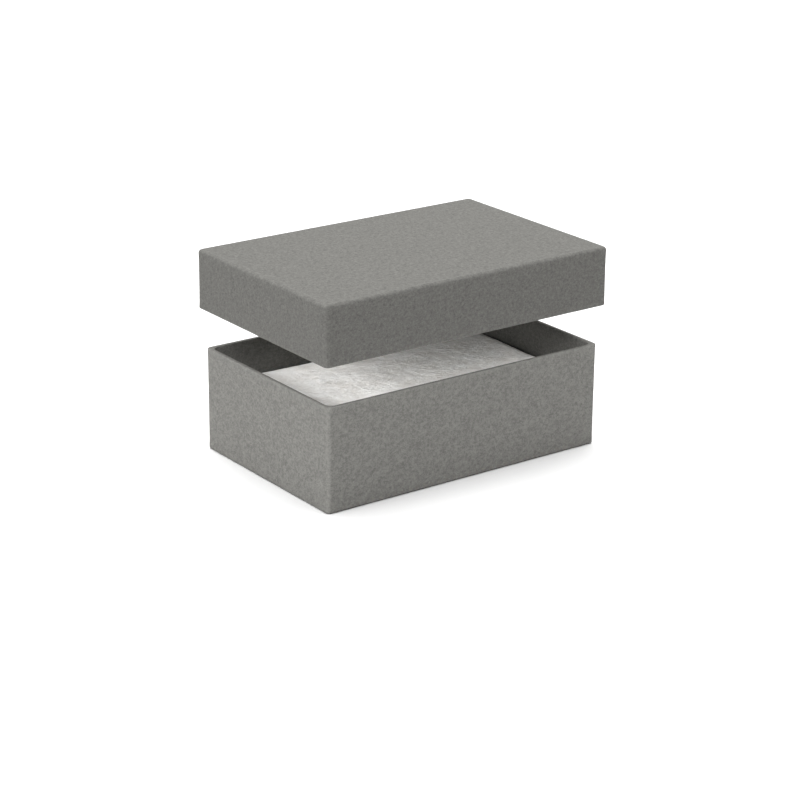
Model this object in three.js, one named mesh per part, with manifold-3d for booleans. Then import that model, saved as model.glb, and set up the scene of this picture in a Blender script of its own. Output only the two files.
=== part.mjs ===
// Archival box: a rigid set-up box with a lift-off lid and a loose pad of fibre wadding.
// Each half is a tray of folded greyboard, held at its corners by paper stays, covered by one
// sheet of grey paper that turns in over the rim, and lined with a loose-cut sheet.
// Millimetres, +Z up, +X along the length. The origin is the middle of the base's underside.
import * as THREE from 'three';
import { mergeVertices } from 'three/addons/utils/BufferGeometryUtils.js';
import Module from 'manifold-3d';

// Outer size of the base, over its covering paper
const BASE_LENGTH = 92;
const BASE_DEPTH = 60;
const BASE_HEIGHT = 30;

// Height of the lid, and how high its rim is held above the surface that the base stands on
const LID_HEIGHT = 17;
const LID_RIM_HEIGHT = 41.6;

// Stock thicknesses
const PAPER = 0.15;
const GLUE = 0.04;
const STAY = 0.12;
const BOARD = 0.7;

// Distances from a wall's outer face to the layers in it, and to its inner face
const TO_STAY = PAPER + GLUE;
const TO_BOARD = TO_STAY + STAY + GLUE;
const TO_TURN_IN = TO_BOARD + BOARD + GLUE;
const WALL = TO_TURN_IN + PAPER;

// The lid slides over the base with this much play on each side
const LID_PLAY = 0.16;

// Corner and edge roundings of the outer face
const CORNER_RADIUS = 1.2;
const BASE_FOLD_RADIUS = 0.5;
const LID_FOLD_RADIUS = 1;
const RIM_RADIUS = 0.18;
const BOARD_CORNER_RADIUS = 0.5;
const BASE_INNER_CORNER_RADIUS = 2.2;
const LID_INNER_CORNER_RADIUS = 1.2;

// How far the covering paper turns in below each rim
const BASE_TURN_IN = 18;
const LID_TURN_IN = 11;

// Each stay wraps this far along both walls, and stops short of the rim and the fold
const STAY_REACH = 9;
const STAY_MARGIN = 1.5;

// The lining sheet is cut smaller than the board's inside
const LINER_MARGIN = 0.3;

// The wadding pad
const PAD_TOP = 20.4;
const PAD_GAP = 0.15;
const PAD_CORNER_RADIUS = 2.4;
const PAD_EDGE_RADIUS = 0.8;

// Facets in each rounded corner and edge, and how far a cutting block overruns
const CORNER_STEPS = 6;
const EDGE_STEPS = 4;
const OVERRUN = 2;

const COVER_GREY = 0x83847e;
const BOARD_GREY = 0x9a958c;
const STAY_BROWN = 0xb59a72;
const LINER_GREY = 0x8b8c87;
const WADDING_WHITE = 0xe9e7e1;

const wasm = await Module();
wasm.setup();

function toSolid(geometry) {
  const bare = geometry.clone();
  bare.deleteAttribute('normal');
  bare.deleteAttribute('uv');
  const merged = mergeVertices(bare);
  const vertProperties = new Float32Array(merged.attributes.position.array);
  const triVerts = new Uint32Array(merged.index.array);
  return new wasm.Manifold(new wasm.Mesh({ numProp: 3, vertProperties, triVerts }));
}

function toMesh(name, solid, look) {
  const { vertProperties, triVerts } = solid.getMesh();
  const geometry = new THREE.BufferGeometry();
  geometry.setAttribute('position', new THREE.BufferAttribute(new Float32Array(vertProperties), 3));
  geometry.setIndex(new THREE.BufferAttribute(new Uint32Array(triVerts), 1));
  geometry.computeVertexNormals();
  const mesh = new THREE.Mesh(geometry, new THREE.MeshStandardMaterial(look));
  mesh.name = name;
  return mesh;
}

// Points of a rectangle with round corners, anticlockwise
function roundedOutline(length, depth, radius) {
  const points = [];
  const signs = [[1, 1], [-1, 1], [-1, -1], [1, -1]];
  signs.forEach(([sx, sy], corner) => {
    const cx = sx * (length / 2 - radius);
    const cy = sy * (depth / 2 - radius);
    for (let step = 0; step <= CORNER_STEPS; step += 1) {
      const angle = (corner + step / CORNER_STEPS) * Math.PI / 2;
      points.push([cx + radius * Math.cos(angle), cy + radius * Math.sin(angle)]);
    }
  });
  return points;
}

// Heights and insets that round off the block's lower and upper edges
function edgeLevels(low, high, lowEdge, highEdge) {
  const levels = [];
  for (let step = 0; step <= EDGE_STEPS && lowEdge > 0; step += 1) {
    const angle = (step / EDGE_STEPS) * Math.PI / 2;
    levels.push([low + lowEdge * (1 - Math.sin(angle)), lowEdge * (1 - Math.cos(angle))]);
  }
  levels.reverse();
  if (lowEdge === 0) levels.push([low, 0]);
  for (let step = 0; step <= EDGE_STEPS && highEdge > 0; step += 1) {
    const angle = (step / EDGE_STEPS) * Math.PI / 2;
    levels.push([high - highEdge * (1 - Math.sin(angle)), highEdge * (1 - Math.cos(angle))]);
  }
  if (highEdge === 0) levels.push([high, 0]);
  return levels;
}

// An upright block with round corners and soft lower and upper edges
function block({ length, depth, radius, low, high, lowEdge = 0, highEdge = 0 }) {
  const rings = edgeLevels(low, high, lowEdge, highEdge).map(([z, inset]) => (
    roundedOutline(length - 2 * inset, depth - 2 * inset, radius - inset)
      .map(([x, y]) => [x, y, z])
  ));
  const count = rings[0].length;
  const positions = [...rings.flat(), [0, 0, low], [0, 0, high]].flat();
  const lowCentre = rings.length * count;
  const highCentre = lowCentre + 1;
  const lastRing = (rings.length - 1) * count;
  const index = [];
  for (let i = 0; i < count; i += 1) {
    const next = (i + 1) % count;
    index.push(lowCentre, next, i);
    index.push(highCentre, lastRing + i, lastRing + next);
    for (let ring = 0; ring < lastRing; ring += count) {
      index.push(ring + i, ring + next, ring + count + next);
      index.push(ring + i, ring + count + next, ring + count + i);
    }
  }
  const geometry = new THREE.BufferGeometry();
  geometry.setAttribute('position', new THREE.Float32BufferAttribute(positions, 3));
  geometry.setIndex(index);
  return toSolid(geometry);
}

// A block whose walls lie this far inside a tray's outer face
function inner(tray, inset, radius, low, high, lowEdge = 0) {
  return block({
    length: tray.length - 2 * inset,
    depth: tray.depth - 2 * inset,
    radius,
    low,
    high,
    lowEdge,
  });
}

// The same, with corners that run round the same centres as the tray's outer corners
function layer(tray, inset, low, high, lowEdge = 0) {
  return inner(tray, inset, CORNER_RADIUS - inset, low, high, lowEdge);
}

// The covering paper: one sheet under the closed end, up the walls, over the rim and down inside
function buildWrap(tray, look) {
  const outer = block({
    length: tray.length,
    depth: tray.depth,
    radius: CORNER_RADIUS,
    low: 0,
    high: tray.height,
    lowEdge: tray.foldRadius,
    highEdge: RIM_RADIUS,
  });
  const room = layer(tray, PAPER, PAPER, tray.height - PAPER, tray.foldRadius - PAPER);
  const turnInLow = tray.height - tray.turnIn;
  const turnIn = inner(tray, TO_TURN_IN, BOARD_CORNER_RADIUS, turnInLow, tray.height);
  const mouthLow = turnInLow - OVERRUN;
  const mouth = inner(tray, WALL, tray.innerRadius, mouthLow, tray.height + OVERRUN);
  const wrap = outer.subtract(room.subtract(turnIn)).subtract(mouth);
  return toMesh(`${tray.name}_wrap`, wrap, look);
}

// The board: floor and four walls folded from one scored blank
function buildBoard(tray, look) {
  const floorLow = PAPER + GLUE;
  const rim = tray.height - PAPER - GLUE;
  const outer = layer(tray, TO_BOARD, floorLow, rim, tray.foldRadius - TO_BOARD);
  const insideInset = TO_BOARD + BOARD;
  const floorHigh = floorLow + BOARD;
  const inside = inner(tray, insideInset, BOARD_CORNER_RADIUS, floorHigh, rim + OVERRUN);
  return toMesh(`${tray.name}_board`, outer.subtract(inside), look);
}

// A strip of gummed paper round the outside of each upright corner of the board
function buildStays(tray, look) {
  const low = tray.foldRadius + STAY_MARGIN;
  const high = tray.height - STAY_MARGIN;
  const sleeve = layer(tray, TO_STAY, low, high)
    .subtract(layer(tray, TO_STAY + STAY, low - OVERRUN, high + OVERRUN));
  const stays = [];
  for (const sx of [-1, 1]) {
    for (const sy of [-1, 1]) {
      const reach = new THREE.BoxGeometry(STAY_REACH, STAY_REACH, tray.height);
      reach.translate(
        sx * (tray.length - STAY_REACH) / 2,
        sy * (tray.depth - STAY_REACH) / 2,
        tray.height / 2,
      );
      const front = sy * (tray.upsideDown ? -1 : 1) < 0;
      const place = `${front ? 'front' : 'back'}_${sx < 0 ? 'left' : 'right'}`;
      stays.push(toMesh(`${tray.name}_stay_${place}`, sleeve.intersect(toSolid(reach)), look));
    }
  }
  return stays;
}

// The lining sheet, flat on the board inside
function buildLiner(tray, look) {
  const low = PAPER + GLUE + BOARD + GLUE;
  const inset = WALL + LINER_MARGIN;
  const liner = inner(tray, inset, tray.innerRadius, low, low + PAPER);
  return toMesh(`${tray.name}_liner`, liner, look);
}

// A whole tray, standing on its closed end
function buildTray(tray) {
  const cover = { color: COVER_GREY, roughness: 0.9, metalness: 0 };
  const greyboard = { color: BOARD_GREY, roughness: 0.95, metalness: 0 };
  const gummedPaper = { color: STAY_BROWN, roughness: 0.8, metalness: 0 };
  const lining = { color: LINER_GREY, roughness: 0.9, metalness: 0 };
  const group = new THREE.Group();
  group.add(buildBoard(tray, greyboard));
  group.add(...buildStays(tray, gummedPaper));
  group.add(buildWrap(tray, cover));
  group.add(buildLiner(tray, lining));
  return group;
}

// The pad fills the base's inside from wall to wall and lies on the lining sheet
function buildPad() {
  const low = PAPER + GLUE + BOARD + GLUE + PAPER + GLUE;
  const pad = block({
    length: BASE_LENGTH - 2 * (WALL + PAD_GAP),
    depth: BASE_DEPTH - 2 * (WALL + PAD_GAP),
    radius: PAD_CORNER_RADIUS,
    low,
    high: PAD_TOP,
    lowEdge: PAD_EDGE_RADIUS,
    highEdge: PAD_EDGE_RADIUS,
  });
  return toMesh('wadding_pad', pad, { color: WADDING_WHITE, roughness: 1, metalness: 0 });
}

const base = buildTray({
  name: 'base',
  length: BASE_LENGTH,
  depth: BASE_DEPTH,
  height: BASE_HEIGHT,
  foldRadius: BASE_FOLD_RADIUS,
  innerRadius: BASE_INNER_CORNER_RADIUS,
  turnIn: BASE_TURN_IN,
  upsideDown: false,
});

const lid = buildTray({
  name: 'lid',
  length: BASE_LENGTH + 2 * (WALL + LID_PLAY),
  depth: BASE_DEPTH + 2 * (WALL + LID_PLAY),
  height: LID_HEIGHT,
  foldRadius: LID_FOLD_RADIUS,
  innerRadius: LID_INNER_CORNER_RADIUS,
  turnIn: LID_TURN_IN,
  upsideDown: true,
});
lid.rotation.x = Math.PI;
lid.position.z = LID_RIM_HEIGHT + LID_HEIGHT;

const box = new THREE.Group();
box.add(base, buildPad(), lid);

export default box;
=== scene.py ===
"""Looks of the archival box: a paper-covered base and lid, and a pad of fibre wadding.

Everything is in metres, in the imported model's frame. The covering papers and the pad are built here
and stand for their CAD nodes. The boards, stays and lining sheets are the CAD nodes themselves, with
finer materials.
"""
import math
import random

import bmesh
import bpy
import numpy as np
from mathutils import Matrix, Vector, noise
from mathutils.bvhtree import BVHTree


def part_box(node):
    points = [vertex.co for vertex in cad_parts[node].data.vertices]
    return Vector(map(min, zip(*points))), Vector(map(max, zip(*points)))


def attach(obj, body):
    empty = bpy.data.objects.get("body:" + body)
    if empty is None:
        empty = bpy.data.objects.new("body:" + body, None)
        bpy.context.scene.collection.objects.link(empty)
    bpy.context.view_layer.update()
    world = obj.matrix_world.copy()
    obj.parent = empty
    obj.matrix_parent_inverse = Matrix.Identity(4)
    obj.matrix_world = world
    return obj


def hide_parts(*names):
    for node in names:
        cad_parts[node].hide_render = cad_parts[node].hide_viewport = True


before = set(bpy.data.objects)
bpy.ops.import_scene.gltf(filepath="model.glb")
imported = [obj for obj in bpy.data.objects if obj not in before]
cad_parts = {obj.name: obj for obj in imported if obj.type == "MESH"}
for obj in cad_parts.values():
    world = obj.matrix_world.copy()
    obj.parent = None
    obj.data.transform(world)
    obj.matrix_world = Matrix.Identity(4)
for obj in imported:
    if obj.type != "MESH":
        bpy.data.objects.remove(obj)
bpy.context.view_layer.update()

MM = 0.001

# Stock and roundings, as in the CAD source
PAPER = 0.15 * MM
WALL = 1.24 * MM
CORNER_RADIUS = 1.2 * MM
BASE_INNER_RADIUS = 2.2 * MM
LID_INNER_RADIUS = 1.2 * MM
BASE_FOLD = 0.5 * MM
LID_FOLD = 1.0 * MM
BASE_TURN_IN = 18 * MM
LID_TURN_IN = 11 * MM

# The covering paper's mesh
SHEET_STEP = 0.8 * MM
CORNER_CELLS = 9
FOLD_RINGS = 8
RIM_RINGS = 4
END_CROWDING = 0.6
CREASE_ANGLE = math.radians(40)
NO_CREASE = math.radians(180)

# The paper's softened edges. A power below 2 makes a fold flatter in its middle than a circle.
RIM_ROUND = 0.26 * MM
FOLD_POWER = 1.75
FOLD_CORNER_RADIUS = 0.9 * MM

# How far the lid's walls lean out at its rim, and the base's lean in between its corners
LID_FLARE = 0.1 * MM
BASE_DIP = 0.07 * MM

# The end panels' edges, which show as a fine step beside each upright corner
SEAM_INSET = 0.9 * MM
SEAM_STEP = 0.06 * MM
SEAM_RAMP = 0.07 * MM
SEAM_START = (0.6 * MM, 2.5 * MM)
SEAM_END = (0.4 * MM, 1.5 * MM)

# Inside, that edge is a mitre, which slants away from the corner
MITRE_SLOPE = 0.22
MITRE_START = 10 * MM
MITRE_FULL = 3 * MM
MITRE_END = 2.6 * MM

# Relief of the paper: its height, and the size of its hills
RIPPLE = 0.02 * MM
RIPPLE_SPAN = 9 * MM
GRAIN = 0.018 * MM
GRAIN_SPAN = 5 * MM
FINE_GRAIN = 0.008 * MM
FINE_GRAIN_SPAN = 1.6 * MM

# The groove just inside the closed end's edge
GROOVE = 0.035 * MM
GROOVE_SPAN = 14 * MM
GROOVE_FROM_EDGE = 0.7 * MM
GROOVE_WIDTH = 0.4 * MM

# The small pleats where the paper goes round a closed corner
PLEAT = 0.035 * MM
PLEAT_TURNS = 14
PLEAT_START = (0.05 * MM, 0.5 * MM)
PLEAT_END = (1.5 * MM, 3.5 * MM)

# How much paler each edge is, from 0 to 1, and how far the paling spreads from it: abrasion, and on
# the rim also painted light
RIM_WEAR_AND_LIGHT_WIDTH = 0.5 * MM
FOLD_WEAR = 0.55
CORNER_WEAR = 0.5
PANEL_WEAR = 0.35
PANEL_WEAR_WIDTH = 1.2 * MM

# The pad. It starts wider and lower than its space by SPREAD and ROOM_ABOVE, swells by no more than
# SWELL_MOST, and droops towards its edge. HILLS has the height, size and seed of each layer of hills.
PAD_SPREAD = 3.2 * MM
PAD_ROOM_ABOVE = 0.6 * MM
PAD_ROUNDING = 0.8 * MM
PAD_VOXEL = 2 * MM
PAD_SWELL_MOST = 0.5 * MM
PAD_CLEARANCE = 0.05 * MM
PAD_CORNER_RADIUS = 2.4 * MM
PAD_DROOP = 0.15 * MM
PAD_DROOP_REACH = 8 * MM
PAD_HILLS = ((0.17 * MM, 9 * MM, 11), (0.12 * MM, 3.2 * MM, 12), (0.07 * MM, 1.3 * MM, 13))
PAD_LEAST_EDGE = 0.01 * MM
CLOTH_STEPS = 20
PAD_SEED = 7

# The loose fibres on it. CURL is the most that a fibre turns in each millimetre, and WANDER and
# WISP_FAN are how unevenly it turns and how far a wisp's fibres fan out, all in radians.
STRAND_COUNT = 1500
STRAND_STEP = 0.7 * MM
STRAND_LENGTH = (3 * MM, 9 * MM)
STRAND_WIDTH = (0.025 * MM, 0.05 * MM)
STRAND_FLATNESS = 0.4
STRAND_SINK = 0.03 * MM
STRAND_MARGIN = 1.0 * MM
STRAND_LIFT = (0, 0.05 * MM)
STRAND_CURL = 0.25
STRAND_WANDER = 0.1
WISP_COUNT = 26
WISP_FIBRES = (5, 12)
WISP_SCATTER = 0.6 * MM
WISP_LENGTH = (1.5 * MM, 4 * MM)
WISP_LIFT = (0.05 * MM, 0.3 * MM)
WISP_CURL = 0.6
WISP_FAN = 0.6

# The studio: half the floor's width, and how bright the world is as a light and as a backdrop
FLOOR_HALF = 6.0
WORLD_STRENGTH = 0.06
BACKDROP_STRENGTH = 1

# The camera: where it stands round the box in degrees, and what it looks at
VIEW_AZIMUTH = -36.34
VIEW_ELEVATION = 20.15
VIEW_ROLL = 0.495
VIEW_DISTANCE = 666.3 * MM
VIEW_AIM = Vector((2.2, 3.9, 12.1)) * MM
LENS_MM = 105.3


# ---------------------------------------------------------------- small helpers

def smooth_step(value, low, high):
    """0 below low, 1 above high, and a smooth rise between them."""
    t = np.clip((value - low) / (high - low), 0, 1)
    return t * t * (3 - 2 * t)


def bell(value, width):
    """1 at 0, falling to about a third at width."""
    return np.exp(-(value / width) ** 2)


def hills(points, scale, seed=0.0):
    """Smooth noise from about -1 to 1 at each point, with hills about scale metres across."""
    shift = Vector((seed * 17.3, seed * 7.1, seed * 3.7))
    flat = np.reshape(points, (-1, 3))
    values = [noise.noise(Vector(point) / scale + shift) for point in flat]
    return np.array(values).reshape(points.shape[:-1])


def make_mesh(name, points, faces, crease=CREASE_ANGLE):
    """A smooth-shaded piece, sharp only where it folds by more than the crease angle."""
    mesh = bpy.data.meshes.new(name)
    mesh.from_pydata([tuple(p) for p in points], [], faces)
    mesh.validate()
    mesh.shade_smooth()
    mesh.set_sharp_from_angle(angle=crease)
    piece = bpy.data.objects.new(name, mesh)
    bpy.context.scene.collection.objects.link(piece)
    return piece


def set_attribute(piece, name, values):
    attribute = piece.data.attributes.new(name, "FLOAT", "POINT")
    attribute.data.foreach_set("value", np.asarray(values, np.float32))


# ---------------------------------------------------------------- covering paper

class Tray:
    """One half of the box. Heights in it are measured from its closed end to its rim."""

    def __init__(self, name, fold, inner_radius, turn_in, closed_up):
        low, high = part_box(f"{name}_wrap")
        self.name = name
        self.fold = fold
        self.inner_radius = inner_radius
        self.turn_in = turn_in
        self.closed_up = closed_up
        self.centre = (low + high) / 2
        self.length, self.depth, self.height = high - low
        self.closed_z = high.z if closed_up else low.z
        self.rise = -1 if closed_up else 1

    def to_frame(self, x, y, height):
        z = self.closed_z + self.rise * height
        return np.stack([self.centre.x + x, self.centre.y + y, z], -1)


class Cells:
    """Places on a tray's plan. Each axis has a place along the flat stretch and a place round the
    corner, both from -1 to 1. out_x and out_y are the direction straight out of the outline."""

    def __init__(self, tray, flat_x, round_x, flat_y, round_y):
        self.tray = tray
        self.flat_x, self.flat_y = flat_x, flat_y
        across_x, across_y = np.abs(round_x), np.abs(round_y)
        self.reach = np.maximum(across_x, across_y)
        least = np.minimum(across_x, across_y)
        part = math.pi / 4 * least / np.maximum(self.reach, 1e-9)
        turn = np.where(across_x >= across_y, part, math.pi / 2 - part)
        self.out_x = np.sign(round_x) * np.cos(turn)
        self.out_y = np.sign(round_y) * np.sin(turn)
        self.turn = turn

    def at(self, inset, radius):
        """Their x and y on an outline this far inside the outer face, with this corner radius."""
        half_x = self.tray.length / 2 - inset - radius
        half_y = self.tray.depth / 2 - inset - radius
        x = self.flat_x * half_x + self.out_x * radius * self.reach
        y = self.flat_y * half_y + self.out_y * radius * self.reach
        return x, y


def flat_fractions(half_flat, seam=None):
    """Places along a side's flat stretch, from -1 to 1, closer together near the corners."""
    count = round(2 * half_flat / SHEET_STEP)
    t = np.linspace(-1, 1, count + 1)
    places = (1 - END_CROWDING) * t + END_CROWDING * np.sin(math.pi / 2 * t)
    if seam is not None:
        near_edge, far_edge = seam - SEAM_RAMP / 2, seam + SEAM_RAMP / 2
        extra = np.array([-far_edge, -near_edge, near_edge, far_edge]) / half_flat
        gap = np.abs(places[:, None] - extra[None, :]).min(1)
        places = np.sort(np.concatenate([places[gap > 0.1 * MM / half_flat], extra]))
    return places


def grid_lines(fractions):
    """(flat, corner) places of the grid lines that cross one side, corners included."""
    corner = np.arange(1, CORNER_CELLS + 1) / CORNER_CELLS
    ends = np.ones(CORNER_CELLS)
    flat = np.concatenate([-ends, fractions, ends])
    round_part = np.concatenate([-corner[::-1], np.zeros(len(fractions)), corner])
    return flat, round_part


def fold_corner_radius(inset):
    """Corner radius of the fold's ring this far in from the outer face."""
    return max(CORNER_RADIUS - inset, FOLD_CORNER_RADIUS)


def fold_rows(size, start, shows, steps, power):
    """The fold round the closed end's edge, from the panel to the wall."""
    rows = []
    for angle in np.linspace(0, math.pi / 2, steps + 1):
        inset = start + size * (1 - math.sin(angle) ** (2 / power))
        height = start + size * (1 - abs(math.cos(angle)) ** (2 / power))
        rows.append((inset, height, fold_corner_radius(inset), shows))
    return rows


def rim_rows(tray):
    """Over the rim, from the outer face to the inner one."""
    rows = []
    quarter = np.linspace(0, math.pi / 2, RIM_RINGS + 1)[1:]
    insets = [RIM_ROUND * (1 - math.cos(angle)) for angle in quarter]
    drops = [RIM_ROUND * (1 - math.sin(angle)) for angle in quarter]
    insets += [WALL / 2] + [WALL - inset for inset in insets[::-1]]
    drops += [0] + drops[::-1]
    for inset, drop in zip(insets, drops):
        radius = CORNER_RADIUS + (tray.inner_radius - CORNER_RADIUS) * inset / WALL
        rows.append((inset, tray.height - drop, radius, 1))
    return rows


def straight_rows(inset, start, end, radius):
    """Up or down a wall, without its first row."""
    count = round(abs(end - start) / SHEET_STEP)
    return [(inset, height, radius, 1) for height in np.linspace(start, end, count + 1)[1:]]


def wrap_profile(tray):
    """The sheet's path from the closed end's edge, up the wall, over the rim, down inside, and back
    along its glued face: rows of inset, height, corner radius, and whether the face shows."""
    wall_top = tray.height - RIM_ROUND
    inside_end = tray.height - tray.turn_in
    rows = fold_rows(tray.fold, 0, 1, FOLD_RINGS, FOLD_POWER)
    rows += straight_rows(0, tray.fold, wall_top, CORNER_RADIUS)
    rows += rim_rows(tray)
    rows += straight_rows(WALL, wall_top, inside_end, tray.inner_radius)
    rows += [
        (WALL - PAPER, inside_end, tray.inner_radius + PAPER, 0),
        (WALL - PAPER, tray.height - PAPER, tray.inner_radius + PAPER, 0),
        (PAPER, tray.height - PAPER, CORNER_RADIUS - PAPER, 0),
    ]
    rows += fold_rows(tray.fold - PAPER, PAPER, 0, 3, 2)[::-1]
    return np.array(rows, float)


def profile_normals(profile):
    """Unit normals of the profile in (inset, height), pointing out of the paper."""
    along = np.gradient(profile[:, :2], axis=0)
    normal = np.stack([-along[:, 1], along[:, 0]], 1)
    return normal / np.maximum(np.linalg.norm(normal, axis=1, keepdims=True), 1e-12)


def seam_recess(tray, cells, height):
    """How far the paper lies back beside the end panels' edges, and on round the corner."""
    half_flat = tray.depth / 2 - CORNER_RADIUS
    seam = half_flat - SEAM_INSET
    along = np.abs(cells.flat_y) * half_flat
    beyond = smooth_step(along, seam - SEAM_RAMP / 2, seam + SEAM_RAMP / 2)
    off_fold = smooth_step(height, *SEAM_START)
    off_rim = smooth_step(tray.height - height, *SEAM_END)
    return SEAM_STEP * beyond * cells.out_x ** 2 * off_fold * off_rim


def mitre_shift(tray, cells, y, height):
    """How far the rows inside the end walls slide along, so that the seam there slants."""
    from_side = tray.depth / 2 - np.abs(y)
    rise = 1 - smooth_step(from_side, MITRE_FULL, MITRE_START)
    fall = smooth_step(from_side, WALL, MITRE_END)
    depth = max(tray.height - height, 0)
    on_end = np.abs(cells.out_x) > 0.99
    return -np.sign(y) * MITRE_SLOPE * depth * rise * fall * on_end


def wall_lean(tray, cells, height):
    """How far a wall stands out from its true plane at this height."""
    share = height / tray.height
    if tray.closed_up:
        return LID_FLARE * share ** 2
    along = np.where(np.abs(cells.out_x) > 0.9, cells.flat_y, cells.flat_x)
    return -BASE_DIP * share * (1 - along ** 2)


def corner_pleats(cells, height):
    """Fine ridges round each upright corner beside the closed end's fold."""
    ridges = np.cos(PLEAT_TURNS * cells.turn + 3 * np.sign(cells.out_x) + np.sign(cells.out_y))
    in_corner = np.sqrt(np.abs(np.sin(2 * cells.turn)))
    fade_in = smooth_step(height, *PLEAT_START)
    fade_out = 1 - smooth_step(height, *PLEAT_END)
    return PLEAT * ridges * in_corner * fade_in * fade_out


def panel_points(tray, cells, on_edge):
    """The closed end's panel, with a faint ripple and a groove along its edge, and how much paler its
    edge is from abrasion.
    """
    x, y = cells.at(tray.fold, fold_corner_radius(tray.fold))
    points = tray.to_frame(x, y, np.zeros_like(x))
    from_edge = np.minimum(tray.length / 2 - np.abs(x), tray.depth / 2 - np.abs(y)) - tray.fold
    ripple = RIPPLE * hills(points, RIPPLE_SPAN, 1)
    depth = GROOVE * (0.6 + 0.4 * hills(points, GROOVE_SPAN, 2))
    groove = depth * bell(from_edge - GROOVE_FROM_EDGE, GROOVE_WIDTH)
    points[..., 2] -= tray.rise * np.where(on_edge, 0, ripple - groove)
    return points, PANEL_WEAR * bell(from_edge, PANEL_WEAR_WIDTH)


def ring_points(tray, cells, row, normal):
    """One ring of the sheet, and how much paler it is: abrasion, and at the rim also painted light.
    """
    inset, height, radius, shows = row
    x, y = cells.at(inset, radius)
    outside = inset < WALL / 2
    if not outside:
        y = y + mitre_shift(tray, cells, y, height)
    lean = wall_lean(tray, cells, height)
    ring = tray.to_frame(x + lean * cells.out_x, y + lean * cells.out_y, np.full(len(x), height))
    relief = GRAIN * hills(ring, GRAIN_SPAN, 3) + FINE_GRAIN * hills(ring, FINE_GRAIN_SPAN, 4)
    relief -= seam_recess(tray, cells, height)
    if outside:
        relief += corner_pleats(cells, height)
    shift = shows * relief
    ring[:, 0] -= shift * normal[0] * cells.out_x
    ring[:, 1] -= shift * normal[0] * cells.out_y
    ring[:, 2] += shift * normal[1] * tray.rise

    # The rim is paled at full strength. Part of this is abrasion, and part is painted light on the
    # rim's top, which the lid above keeps in shade.
    wear_and_light = np.full(len(x), bell(tray.height - height, RIM_WEAR_AND_LIGHT_WIDTH))
    if outside:
        fold_wear = FOLD_WEAR * bell(height - 0.5 * tray.fold, 0.9 * tray.fold)
        corner_wear = CORNER_WEAR * np.sin(2 * cells.turn)
        wear_and_light = np.maximum(wear_and_light, np.maximum(fold_wear, corner_wear))
    return ring, shows * wear_and_light


def build_wrap(tray):
    """The covering paper as one closed sheet: the closed end's panel and rings along the profile."""
    half_x = tray.length / 2 - CORNER_RADIUS
    half_y = tray.depth / 2 - CORNER_RADIUS
    flat_x, round_x = grid_lines(flat_fractions(half_x))
    flat_y, round_y = grid_lines(flat_fractions(half_y, half_y - SEAM_INSET))
    nx, ny = len(flat_x), len(flat_y)
    i, j = np.meshgrid(np.arange(nx), np.arange(ny), indexing="ij")
    on_edge = (i == 0) | (i == nx - 1) | (j == 0) | (j == ny - 1)
    grid = Cells(tray, flat_x[i], round_x[i], flat_y[j], round_y[j])
    panel, panel_wear = panel_points(tray, grid, on_edge)
    points, wear_and_light = [panel.reshape(-1, 3)], [panel_wear.ravel()]

    # Once round the panel's edge
    along_x, along_y = np.arange(nx - 1), np.arange(ny - 1)
    i = np.concatenate([along_x, np.full(ny - 1, nx - 1), nx - 1 - along_x, np.zeros(ny - 1, int)])
    j = np.concatenate([np.zeros(nx - 1, int), along_y, np.full(nx - 1, ny - 1), ny - 1 - along_y])
    edge = Cells(tray, flat_x[i], round_x[i], flat_y[j], round_y[j])
    profile = wrap_profile(tray)
    for row, normal in zip(profile[1:], profile_normals(profile)[1:]):
        ring, ring_wear_and_light = ring_points(tray, edge, row, normal)
        points.append(ring)
        wear_and_light.append(ring_wear_and_light)
    points.append(tray.to_frame(np.zeros(1), np.zeros(1), np.full(1, PAPER)))
    wear_and_light.append(np.zeros(1))

    number = np.arange(nx * ny).reshape(nx, ny)
    corners = [number[:-1, :-1], number[:-1, 1:], number[1:, 1:], number[1:, :-1]]
    faces = np.stack([corner.ravel() for corner in corners], 1).tolist()
    rings = [number[i, j]]
    for row in range(len(profile) - 1):
        rings.append(nx * ny + row * len(i) + np.arange(len(i)))
    for ring, following in zip(rings, rings[1:]):
        square = [ring, np.roll(ring, -1), np.roll(following, -1), following]
        faces += np.stack(square, 1).tolist()
    middle = int(rings[-1][-1]) + 1
    faces += [[a, b, middle] for a, b in zip(rings[-1].tolist(), np.roll(rings[-1], -1).tolist())]
    if tray.closed_up:
        faces = [face[::-1] for face in faces]
    wrap = make_mesh(f"{tray.name}_covering_paper", np.concatenate(points), faces)
    set_attribute(wrap, "edge", np.concatenate(wear_and_light))
    return wrap


# ---------------------------------------------------------------- wadding pad

def build_pad():
    """The wadding: a soft block, a little too wide for the box, which is blown up by a short cloth
    simulation and pressed in between the walls."""
    low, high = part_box("wadding_pad")
    spread = Vector((PAD_SPREAD, PAD_SPREAD, 0))
    start_low, start_high = low - spread, high + spread - Vector((0, 0, PAD_ROOM_ABOVE))
    build = bmesh.new()
    bmesh.ops.create_cube(build, size=1)
    for vertex in build.verts:
        for axis in range(3):
            vertex.co[axis] = start_high[axis] if vertex.co[axis] > 0 else start_low[axis]
    bmesh.ops.bevel(
        build, geom=build.edges[:], offset=PAD_ROUNDING, segments=3, affect="EDGES", profile=0.5,
    )
    mesh = bpy.data.meshes.new("wadding")
    build.to_mesh(mesh)
    build.free()
    pad = bpy.data.objects.new("wadding_pad_fibre", mesh)
    bpy.context.scene.collection.objects.link(pad)
    apply_modifier(pad, "REMESH", mode="VOXEL", voxel_size=PAD_VOXEL)
    start = mesh_points(pad)
    blow_up(pad)
    move = mesh_points(pad) - start
    far = np.linalg.norm(move, axis=1, keepdims=True)
    move *= np.minimum(1, PAD_SWELL_MOST / np.maximum(far, 1e-9))
    set_points(pad, held_in(start + move, low, high))
    apply_modifier(pad, "SUBSURF", levels=2, render_levels=2)
    rough_up(pad, low, high)
    return pad


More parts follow.
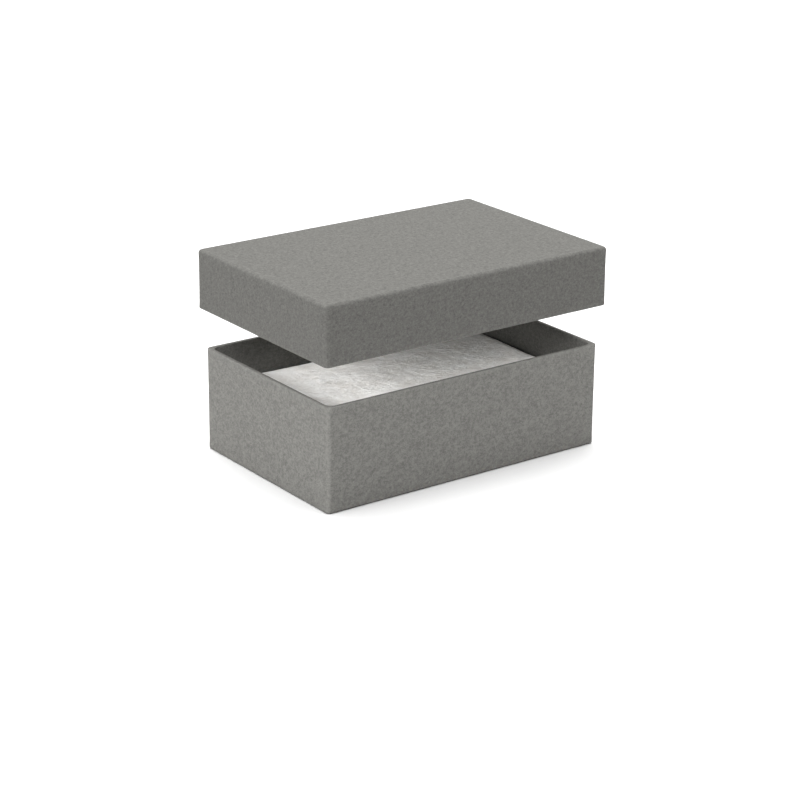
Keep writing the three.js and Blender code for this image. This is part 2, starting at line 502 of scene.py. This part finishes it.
def mesh_points(piece):
    points = np.empty(len(piece.data.vertices) * 3)
    piece.data.vertices.foreach_get("co", points)
    return points.reshape(-1, 3)


def set_points(piece, points):
    piece.data.vertices.foreach_set("co", np.asarray(points).ravel())
    piece.data.update()


def apply_modifier(piece, kind, **settings):
    modifier = piece.modifiers.new(kind.title(), kind)
    for name, value in settings.items():
        setattr(modifier, name, value)
    apply_all(piece)


def apply_all(piece):
    """Bake the piece's modifiers into its mesh."""
    graph = bpy.context.evaluated_depsgraph_get()
    mesh = bpy.data.meshes.new_from_object(piece.evaluated_get(graph))
    piece.modifiers.clear()
    piece.data = mesh


def blow_up(pad):
    """A short cloth simulation with pressure inside and no gravity."""
    cloth = pad.modifiers.new("Cloth", "CLOTH")
    cloth.settings.quality = 6
    cloth.settings.mass = 0.2
    cloth.settings.use_pressure = True
    cloth.settings.uniform_pressure_force = 4
    cloth.settings.effector_weights.gravity = 0
    scene = bpy.context.scene
    for step in range(1, CLOTH_STEPS + 1):
        scene.frame_set(step)
    apply_all(pad)
    scene.frame_set(1)


def held_in(points, low, high):
    """Press the points inside the space between the walls, the floor and the pad's own top."""
    low, high = np.array(low), np.array(high)
    middle = (low + high)[:2] / 2
    half = (high - low)[:2] / 2 - PAD_CLEARANCE
    flat = np.clip(points[:, :2] - middle, -half, half)
    nearest = np.clip(flat, PAD_CORNER_RADIUS - half, half - PAD_CORNER_RADIUS)
    out = flat - nearest
    reach = np.linalg.norm(out, axis=1, keepdims=True)
    out *= np.minimum(1, PAD_CORNER_RADIUS / np.maximum(reach, 1e-9))
    z = np.clip(points[:, 2], low[2] + PAD_CLEARANCE, high[2])
    return np.column_stack([middle + nearest + out, z])


def rough_up(pad, low, high):
    """A crown, clouds and tufts on the pad's top, which stays lower and smoother at its edge."""
    points = mesh_points(pad)
    reach_x = np.minimum(points[:, 0] - low.x, high.x - points[:, 0])
    reach_y = np.minimum(points[:, 1] - low.y, high.y - points[:, 1])
    reach = np.minimum(reach_x, reach_y)
    top = smooth_step(points[:, 2], high.z - 3 * MM, high.z - 1 * MM)
    inside = 0.4 + 0.6 * smooth_step(reach, 0, 3 * MM)
    lift = sum(height * hills(points, span, seed) for height, span, seed in PAD_HILLS)
    droop = PAD_DROOP * (1 - smooth_step(reach, 0, PAD_DROOP_REACH))
    points[:, 2] += top * (inside * lift - droop)
    set_points(pad, held_in(points, low, high))
    tidy = bmesh.new()
    tidy.from_mesh(pad.data)
    bmesh.ops.dissolve_degenerate(tidy, dist=PAD_LEAST_EDGE, edges=tidy.edges)
    tidy.to_mesh(pad.data)
    tidy.free()


def surface_heights(piece, places):
    """Height of the piece's surface under each (x, y) place, from a ray cast straight down."""
    mesh = piece.data
    corners = [vertex.co for vertex in mesh.vertices]
    tree = BVHTree.FromPolygons(corners, [polygon.vertices for polygon in mesh.polygons])
    heights = []
    for x, y in places:
        hit = tree.ray_cast(Vector((x, y, 1)), Vector((0, 0, -1)))[0]
        heights.append(hit.z if hit else float("nan"))
    return np.array(heights)


def strand_path(draw, start, heading, length, lift, curl):
    """A wandering line over the pad: its (x, y) places and its lift above the surface."""
    count = max(4, round(length / STRAND_STEP))
    places = [start]
    bend = draw.uniform(-curl, curl)
    for _ in range(count):
        heading += bend * STRAND_STEP / MM + draw.gauss(0, STRAND_WANDER)
        x, y = places[-1]
        places.append((x + STRAND_STEP * math.cos(heading), y + STRAND_STEP * math.sin(heading)))
    arch = np.sin(math.pi * np.linspace(0, 1, len(places)))
    return np.array(places), lift * arch - STRAND_SINK


def strand_paths(low, high):
    """Single fibres all over the pad, and small wisps of a few fibres each."""
    draw = random.Random(PAD_SEED)

    def somewhere(margin):
        return (draw.uniform(low.x + margin, high.x - margin),
                draw.uniform(low.y + margin, high.y - margin))

    paths = []
    for _ in range(STRAND_COUNT):
        start = somewhere(STRAND_MARGIN)
        length = draw.uniform(*STRAND_LENGTH)
        lift = draw.uniform(*STRAND_LIFT)
        heading = draw.uniform(0, 2 * math.pi)
        paths.append(strand_path(draw, start, heading, length, lift, STRAND_CURL))
    for _ in range(WISP_COUNT):
        x, y = somewhere(4 * STRAND_MARGIN)
        heading = draw.uniform(0, 2 * math.pi)
        for _ in range(draw.randint(*WISP_FIBRES)):
            start = (x + draw.gauss(0, WISP_SCATTER), y + draw.gauss(0, WISP_SCATTER))
            length = draw.uniform(*WISP_LENGTH)
            lift = draw.uniform(*WISP_LIFT)
            own_heading = heading + draw.gauss(0, WISP_FAN)
            paths.append(strand_path(draw, start, own_heading, length, lift, WISP_CURL))
    return paths


def build_strands(pad):
    """The loose fibres on the pad's top, each a thin closed ridge."""
    low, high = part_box("wadding_pad")
    draw = random.Random(PAD_SEED + 1)
    paths = strand_paths(low, high)
    heights = surface_heights(pad, np.concatenate([path for path, _ in paths]))
    points, faces = [], []
    first = 0
    for path, rise in paths:
        height = heights[first:first + len(path)]
        first += len(path)
        x, y = path[:, 0], path[:, 1]
        margin = STRAND_MARGIN / 2
        inside = ~np.isnan(height)
        inside &= (x > low.x + margin) & (x < high.x - margin)
        inside &= (y > low.y + margin) & (y < high.y - margin)
        if inside.all():
            line = np.column_stack([path, height + rise])
            add_strand(points, faces, line, draw.uniform(*STRAND_WIDTH))
    return make_mesh("wadding_strands", points, faces, NO_CREASE)


def add_strand(points, faces, line, half_width):
    """A closed three-sided strand along the line, low and flat underneath, with tapered ends."""
    first = len(points)
    along = np.gradient(line, axis=0)
    across = np.column_stack([-along[:, 1], along[:, 0], np.zeros(len(line))])
    across /= np.maximum(np.linalg.norm(across, axis=1, keepdims=True), 1e-12)
    t = np.linspace(0, 1, len(line))
    widths = half_width * np.minimum(1, 0.25 + 3 * np.minimum(t, 1 - t))
    for centre, side, width in zip(line, across, widths):
        crest = np.array([0, 0, STRAND_FLATNESS * width * 2])
        points += [centre + crest, centre + side * width, centre - side * width]
    for ring in range(len(line) - 1):
        a = first + 3 * ring
        for k in range(3):
            faces.append((a + k, a + 3 + k, a + 3 + (k + 1) % 3, a + (k + 1) % 3))
    last = first + 3 * (len(line) - 1)
    faces.append((first, first + 1, first + 2))
    faces.append((last + 2, last + 1, last))


# ---------------------------------------------------------------- materials

class Nodes:
    """A short way to write a node material."""

    def __init__(self, name):
        self.material = bpy.data.materials.new(name)
        self.material.use_nodes = True
        self.tree = self.material.node_tree
        self.shader = self.tree.nodes["Principled BSDF"]

    def add(self, kind, inputs=None, **settings):
        node = self.tree.nodes.new(kind)
        for key, value in settings.items():
            setattr(node, key, value)
        for key, value in (inputs or {}).items():
            self.put(node, key, value)
        return node

    def put(self, node, key, value):
        if isinstance(value, bpy.types.NodeSocket):
            self.tree.links.new(value, node.inputs[key])
        else:
            node.inputs[key].default_value = value

    def place(self):
        return self.add("ShaderNodeTexCoord").outputs["Object"]

    def noise(self, vector, scale_mm, detail=2.0, roughness=0.5, distortion=0.0):
        node = self.add("ShaderNodeTexNoise", {
            "Vector": vector, "Scale": 1 / (scale_mm * MM), "Detail": detail,
            "Roughness": roughness, "Distortion": distortion,
        })
        return node.outputs["Fac"]

    def fibres(self, place, scale_mm, thin, patch_mm, patch_level):
        """Short broken lines: the level lines of a warped noise, shown only in scattered patches."""
        field = self.noise(place, scale_mm, 1, 0.5, 1.4)
        line = self.ramp(self.math("ABSOLUTE", self.math("SUBTRACT", field, 0.5)), 0, thin, 1, 0)
        patch = self.ramp(self.noise(place, patch_mm, 1), patch_level, patch_level + 0.1)
        return self.math("MULTIPLY", line, patch)

    def ramp(self, value, low, high, out_low=0.0, out_high=1.0):
        node = self.add("ShaderNodeMapRange", {
            "Value": value, "From Min": low, "From Max": high, "To Min": out_low, "To Max": out_high,
        })
        return node.outputs["Result"]

    def math(self, operation, a, b=0.0):
        return self.add("ShaderNodeMath", {0: a, 1: b}, operation=operation).outputs[0]

    def mix(self, factor, a, b, blend="MIX"):
        node = self.add("ShaderNodeMix", data_type="RGBA", blend_type=blend)
        self.put(node, 0, factor)
        self.put(node, 6, a)
        self.put(node, 7, b)
        return node.outputs[2]

    def bump(self, height, distance_mm, strength=1.0):
        node = self.add("ShaderNodeBump", {
            "Height": height, "Distance": distance_mm * MM, "Strength": strength,
        })
        return node.outputs["Normal"]


def times(colour, factor):
    return tuple(min(channel * factor, 1) for channel in colour) + (1,)


def paper_material(name, colour, fleck, worn_and_lit=1.0):
    """Matt flecked paper: cloudy pulp, short dark and pale fibres, and paler edges from abrasion,
    with painted light added on the rim.
    """
    n = Nodes(name)
    place = n.add("ShaderNodeMapping", {"Vector": n.place(), "Scale": (1, 1, 1.15)}).outputs[0]
    clouds = n.noise(place, 3.0, 2, 0.5)
    mottle = n.noise(place, 0.95, 2, 0.75)
    grain = n.noise(place, 0.42, 1, 0.5)
    dark = n.fibres(place, 1.1, 0.035, 2.4, 0.50)
    pale = n.fibres(place, 1.4, 0.03, 2.9, 0.54)

    tone = n.mix(n.ramp(clouds, 0.3, 0.7), times(colour, 0.97), times(colour, 1.03))
    tone = n.mix(n.ramp(mottle, 0.5, 0.72, 0, 0.8 * fleck), tone, times(colour, 1.42))
    tone = n.mix(n.ramp(mottle, 0.5, 0.28, 0, 0.8 * fleck), tone, times(colour, 0.62))
    tone = n.mix(n.ramp(grain, 0.5, 0.75, 0, 0.5 * fleck), tone, times(colour, 1.45))
    tone = n.mix(n.ramp(grain, 0.5, 0.25, 0, 0.5 * fleck), tone, times(colour, 0.6))
    tone = n.mix(n.math("MULTIPLY", dark, 0.5 * fleck), tone, times(colour, 0.5))
    tone = n.mix(n.math("MULTIPLY", pale, 0.5 * fleck), tone, times(colour, 1.6))
    if worn_and_lit:
        # Paler edges: abrasion, and on the rim also painted light.
        edge = n.add("ShaderNodeAttribute", attribute_name="edge").outputs["Fac"]
        rubbed_and_lit = n.math("MULTIPLY", edge, n.ramp(n.noise(place, 1.5, 3), 0.3, 0.7, 0.2, 1))
        tone = n.mix(n.math("MULTIPLY", rubbed_and_lit, 0.3 * worn_and_lit), tone, times(colour, 1.5))
    n.put(n.shader, "Base Color", tone)
    n.put(n.shader, "Roughness", n.ramp(mottle, 0.2, 0.8, 0.86, 0.97))
    n.put(n.shader, "Specular IOR Level", 0.25)
    relief = n.math("ADD", grain, n.math("MULTIPLY", pale, 0.3))
    relief = n.math("ADD", relief, n.math("MULTIPLY", mottle, 0.8))
    n.put(n.shader, "Normal", n.bump(relief, 0.06, 0.6))
    return n.material


def wadding_material(name):
    """White fibre batt: thin and thick patches, tufts, and fine crossing fibres."""
    n = Nodes(name)
    place = n.place()
    patches = n.noise(place, 7, 3, 0.55)
    tufts = n.noise(place, 1.5, 4, 0.65, 0.6)
    crossing = n.math("ABSOLUTE", n.math("SUBTRACT", n.noise(place, 0.9, 2, 0.5, 2.2), 0.5))
    fibres = n.ramp(crossing, 0, 0.06, 1, 0)
    tone = n.mix(n.ramp(patches, 0.32, 0.68), (0.74, 0.715, 0.68, 1), (0.87, 0.862, 0.842, 1))
    tone = n.mix(n.ramp(tufts, 0.45, 0.3, 0, 0.6), tone, (0.66, 0.64, 0.61, 1))
    tone = n.mix(n.ramp(tufts, 0.52, 0.7, 0, 0.7), tone, (0.93, 0.925, 0.91, 1))
    tone = n.mix(n.math("MULTIPLY", fibres, 0.35), tone, (0.94, 0.94, 0.93, 1))
    n.put(n.shader, "Base Color", tone)
    n.put(n.shader, "Roughness", 1.0)
    n.put(n.shader, "Specular IOR Level", 0.1)
    n.put(n.shader, "Subsurface Weight", 0.2)
    n.put(n.shader, "Subsurface Radius", (1.0, 0.95, 0.9))
    n.put(n.shader, "Subsurface Scale", 0.8 * MM)
    height = n.math("ADD", tufts, n.math("MULTIPLY", fibres, 0.25))
    n.put(n.shader, "Normal", n.bump(height, 0.3, 0.8))
    return n.material


def greyboard_material(name):
    """Raw board of mixed pulp, with dark specks."""
    n = Nodes(name)
    place = n.place()
    pulp = n.noise(place, 1.1, 4, 0.6)
    specks = n.ramp(n.noise(place, 0.5, 1), 0.68, 0.74)
    tone = n.mix(n.ramp(pulp, 0.3, 0.7), (0.27, 0.25, 0.215, 1), (0.36, 0.34, 0.30, 1))
    tone = n.mix(n.math("MULTIPLY", specks, 0.6), tone, (0.14, 0.13, 0.12, 1))
    n.put(n.shader, "Base Color", tone)
    n.put(n.shader, "Roughness", n.ramp(pulp, 0.3, 0.7, 0.88, 0.98))
    n.put(n.shader, "Normal", n.bump(n.noise(place, 0.4, 3), 0.05, 0.6))
    return n.material


def gummed_material(name):
    """Smooth brown kraft paper, with fibres that run round the corner."""
    n = Nodes(name)
    place = n.add("ShaderNodeMapping", {"Vector": n.place(), "Scale": (1, 1, 6)}).outputs[0]
    fibres = n.noise(place, 0.8, 3)
    tone = n.mix(n.ramp(fibres, 0.3, 0.7), (0.40, 0.27, 0.13, 1), (0.52, 0.37, 0.2, 1))
    n.put(n.shader, "Base Color", tone)
    n.put(n.shader, "Roughness", n.ramp(fibres, 0.3, 0.7, 0.55, 0.75))
    n.put(n.shader, "Normal", n.bump(fibres, 0.03, 0.5))
    return n.material


def dress(piece, material):
    piece.data.materials.clear()
    piece.data.materials.append(material)


# ---------------------------------------------------------------- studio

def build_floor():
    """A wide pale floor at the height that the box stands on."""
    mesh = bpy.data.meshes.new("studio_floor")
    corners = [(-1, -1), (1, -1), (1, 1), (-1, 1)]
    points = [(FLOOR_HALF * x, FLOOR_HALF * y, 0) for x, y in corners]
    mesh.from_pydata(points, [], [(0, 1, 2, 3)])
    floor = bpy.data.objects.new("studio_floor", mesh)
    bpy.context.scene.collection.objects.link(floor)
    n = Nodes("pale_floor")
    n.put(n.shader, "Base Color", (0.95, 0.95, 0.95, 1))
    n.put(n.shader, "Roughness", 0.9)
    dress(floor, n.material)


def toward(azimuth, elevation):
    """Unit direction from the box to a lamp or viewer; azimuth 0 is in front, 90 to the right."""
    a, e = math.radians(azimuth), math.radians(elevation)
    return Vector((math.sin(a) * math.cos(e), -math.cos(a) * math.cos(e), math.sin(e)))


def add_sun(name, azimuth, elevation, energy, softness):
    """Distant light from that side of the box. softness is its width in degrees."""
    data = bpy.data.lights.new(name, "SUN")
    data.energy = energy
    data.angle = math.radians(softness)
    lamp = bpy.data.objects.new(name, data)
    lamp.rotation_euler = toward(azimuth, elevation).to_track_quat("Z", "Y").to_euler()
    bpy.context.scene.collection.objects.link(lamp)
    return lamp


def receivers(lamp, pieces, state):
    """Let the lamp light these pieces alone, or all but these. Everything still shades it."""
    group = bpy.data.collections.new(f"{lamp.name}_receivers")
    for piece in pieces:
        group.objects.link(piece)
    for link in group.collection_objects:
        link.light_linking.link_state = state
    lamp.light_linking.receiver_collection = group


def build_world():
    """A faint even light on the box, and a white backdrop for the camera."""
    world = bpy.data.worlds.new("studio")
    world.use_nodes = True
    tree = world.node_tree
    faint = tree.nodes["Background"]
    backdrop = tree.nodes.new("ShaderNodeBackground")
    for shader, strength in ((faint, WORLD_STRENGTH), (backdrop, BACKDROP_STRENGTH)):
        shader.inputs["Color"].default_value = (1, 1, 1, 1)
        shader.inputs["Strength"].default_value = strength
    choice = tree.nodes.new("ShaderNodeMixShader")
    seen = tree.nodes.new("ShaderNodeLightPath").outputs["Is Camera Ray"]
    tree.links.new(seen, choice.inputs[0])
    tree.links.new(faint.outputs[0], choice.inputs[1])
    tree.links.new(backdrop.outputs[0], choice.inputs[2])
    tree.links.new(choice.outputs[0], tree.nodes["World Output"].inputs["Surface"])
    bpy.context.scene.world = world


def build_lamps(base_pieces, pad_pieces):
    """Broad soft light from above, with weaker panels round the box. The base gets more from the
    front left than the lid does, and the pad has panels of its own, low enough to shine in under
    the raised lid."""
    for lamp in (
        add_sun("overhead_panel", 150, 84, 4.5, 60),
        add_sun("back_panel", 170, 45, 0.5, 40),
        add_sun("left_panel", -95, 30, 0.8, 30),
    ):
        receivers(lamp, pad_pieces, "EXCLUDE")
    for lamp in (
        add_sun("front_left_panel", -50, 40, 1.9, 30),
        add_sun("front_panel", -20, 45, 0.6, 30),
        add_sun("low_left_panel", -85, 7, 0.5, 10),
    ):
        receivers(lamp, base_pieces, "INCLUDE")
    for lamp in (
        add_sun("pad_front_panel", -45, 20, 2.6, 20),
        add_sun("pad_high_panel", -45, 30, 1.0, 20),
        add_sun("pad_left_panel", -70, 20, 4.8, 20),
        add_sun("pad_side_panel", -80, 35, 2.25, 24),
        add_sun("pad_fill_panel", -75, 62, 0.8, 40),
    ):
        receivers(lamp, pad_pieces, "INCLUDE")


def build_camera():
    """A long lens at the reference view's angle and distance."""
    data = bpy.data.cameras.new("camera")
    data.lens = LENS_MM
    data.sensor_width = 36
    camera = bpy.data.objects.new("camera", data)
    back = toward(VIEW_AZIMUTH, VIEW_ELEVATION)
    camera.location = VIEW_AIM + back * VIEW_DISTANCE
    camera.rotation_euler = back.to_track_quat("Z", "Y").to_euler()
    camera.rotation_euler.rotate_axis("Z", math.radians(VIEW_ROLL))
    bpy.context.scene.collection.objects.link(camera)
    bpy.context.scene.camera = camera


# ---------------------------------------------------------------- the box

bpy.context.scene.view_settings.view_transform = "Standard"
build_camera()
build_world()
build_floor()

cover = paper_material("flecked_grey_paper", (0.153, 0.151, 0.141), fleck=0.8)
lining = paper_material("grey_lining_paper", (0.18, 0.178, 0.165), fleck=0.5, worn_and_lit=0)
greyboard = greyboard_material("greyboard")
gummed = gummed_material("gummed_kraft_paper")
wadding = wadding_material("fibre_wadding")

trays = [
    Tray("base", BASE_FOLD, BASE_INNER_RADIUS, BASE_TURN_IN, closed_up=False),
    Tray("lid", LID_FOLD, LID_INNER_RADIUS, LID_TURN_IN, closed_up=True),
]
wraps = {}
for tray in trays:
    wrap = build_wrap(tray)
    wraps[tray.name] = wrap
    dress(wrap, cover)
    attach(wrap, tray.name)
    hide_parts(f"{tray.name}_wrap")

pad = build_pad()
dress(pad, wadding)
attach(pad, "pad")
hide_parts("wadding_pad")

strands = build_strands(pad)
dress(strands, wadding)
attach(strands, "pad")

for name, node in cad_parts.items():
    if name.endswith("_board"):
        dress(node, greyboard)
    elif "_stay_" in name:
        dress(node, gummed)
    elif name.endswith("_liner"):
        dress(node, lining)

base_nodes = [node for name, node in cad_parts.items() if name.startswith("base_")]
build_lamps([wraps["base"], *base_nodes], [pad, strands])
